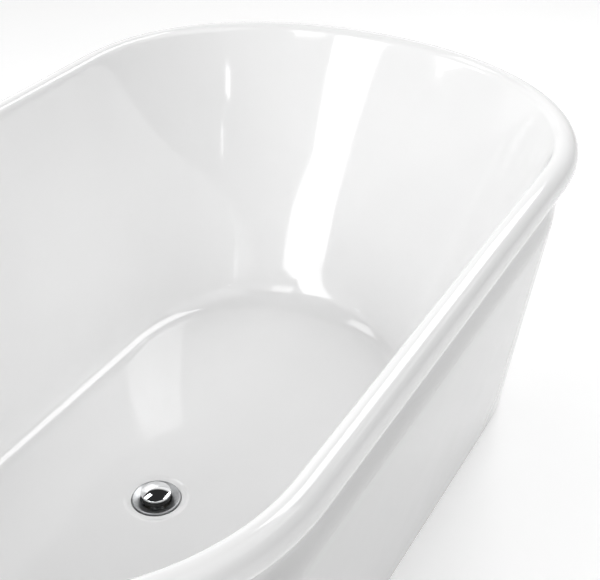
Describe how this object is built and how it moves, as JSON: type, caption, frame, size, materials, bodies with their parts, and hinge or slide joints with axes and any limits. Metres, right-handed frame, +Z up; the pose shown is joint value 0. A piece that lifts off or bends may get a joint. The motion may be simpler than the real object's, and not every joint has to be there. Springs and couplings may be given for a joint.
{
  "type": "freestanding bathtub",
  "caption": "Double-ended oval freestanding bath with a rolled rim, tapered outer shell, pop-up waste, overflow and a levelling sub-frame.",
  "frame": {"origin": "on the floor under the middle of the bath", "axes": "+X along the bath towards its head end, +Y across it away from the overflow, +Z up"},
  "size_m": [1.46, 0.85, 0.58],
  "materials": {
    "acrylic": "gloss",
    "board": "matte",
    "galvanised": "satin",
    "zinc": "satin",
    "chrome": "polished",
    "brass": "satin",
    "spring_steel": "satin",
    "rubber": "matte",
    "white_plastic": "satin",
    "black_plastic": "matte"
  },
  "bodies": {
    "tub": {"basin": "acrylic", "skirt": "acrylic", "base_board": "board", "frame_rail_left": "galvanised", "frame_rail_right": "galvanised", "frame_bar_head": "galvanised", "frame_bar_middle": "galvanised", "frame_bar_foot": "galvanised", "board_screw_1": "zinc", "board_screw_2": "zinc", "board_screw_3": "zinc", "board_screw_4": "zinc", "board_screw_5": "zinc", "board_screw_6": "zinc", "skirt_bracket_head_left": "galvanised", "bracket_screw_head_left": "zinc", "skirt_bracket_head_right": "galvanised", "bracket_screw_head_right": "zinc", "skirt_bracket_foot_left": "galvanised", "bracket_screw_foot_left": "zinc", "skirt_bracket_foot_right": "galvanised", "bracket_screw_foot_right": "zinc", "foot_lock_nut_head_left": "zinc", "foot_lock_nut_head_right": "zinc", "foot_lock_nut_middle_left": "zinc", "foot_lock_nut_middle_right": "zinc", "foot_lock_nut_foot_left": "zinc", "foot_lock_nut_foot_right": "zinc", "waste_flange": "chrome", "waste_top_gasket": "rubber", "waste_bottom_washer": "rubber", "waste_lock_nut": "brass", "stopper_cartridge": "brass", "stopper_spring": "spring_steel", "waste_tee": "white_plastic", "waste_tailpiece": "brass", "waste_tailpiece_nut": "white_plastic", "overflow_cover": "chrome", "overflow_screw": "chrome", "overflow_gasket": "rubber", "overflow_body": "white_plastic", "overflow_pipe": "white_plastic", "overflow_pipe_nut": "white_plastic"},
    "foot_head_left": {"foot_stud_head_left": "zinc", "foot_pad_head_left": "black_plastic"},
    "foot_head_right": {"foot_stud_head_right": "zinc", "foot_pad_head_right": "black_plastic"},
    "foot_middle_left": {"foot_stud_middle_left": "zinc", "foot_pad_middle_left": "black_plastic"},
    "foot_middle_right": {"foot_stud_middle_right": "zinc", "foot_pad_middle_right": "black_plastic"},
    "foot_foot_left": {"foot_stud_foot_left": "zinc", "foot_pad_foot_left": "black_plastic"},
    "foot_foot_right": {"foot_stud_foot_right": "zinc", "foot_pad_foot_right": "black_plastic"},
    "stopper": {"stopper_post": "brass", "stopper_seal": "rubber", "stopper_cap": "chrome"}
  },
  "joints": [
    {"name": "stopper_slide", "type": "slide", "parent": "tub", "child": "stopper", "axis": [0, 0, 1], "range_m": [-0.0075, 0], "stiffness_N_per_m": 300, "springref_m": 0.01, "deforming": ["stopper_spring"]},
    {"name": "foot_head_left_height", "type": "slide", "parent": "tub", "child": "foot_head_left", "axis": [0, 0, -1], "range_m": [-0.01, 0.018]},
    {"name": "foot_head_right_height", "type": "slide", "parent": "tub", "child": "foot_head_right", "axis": [0, 0, -1], "range_m": [-0.01, 0.018]},
    {"name": "foot_middle_left_height", "type": "slide", "parent": "tub", "child": "foot_middle_left", "axis": [0, 0, -1], "range_m": [-0.01, 0.018]},
    {"name": "foot_middle_right_height", "type": "slide", "parent": "tub", "child": "foot_middle_right", "axis": [0, 0, -1], "range_m": [-0.01, 0.018]},
    {"name": "foot_foot_left_height", "type": "slide", "parent": "tub", "child": "foot_foot_left", "axis": [0, 0, -1], "range_m": [-0.01, 0.018]},
    {"name": "foot_foot_right_height", "type": "slide", "parent": "tub", "child": "foot_foot_right", "axis": [0, 0, -1], "range_m": [-0.01, 0.018]}
  ]
}
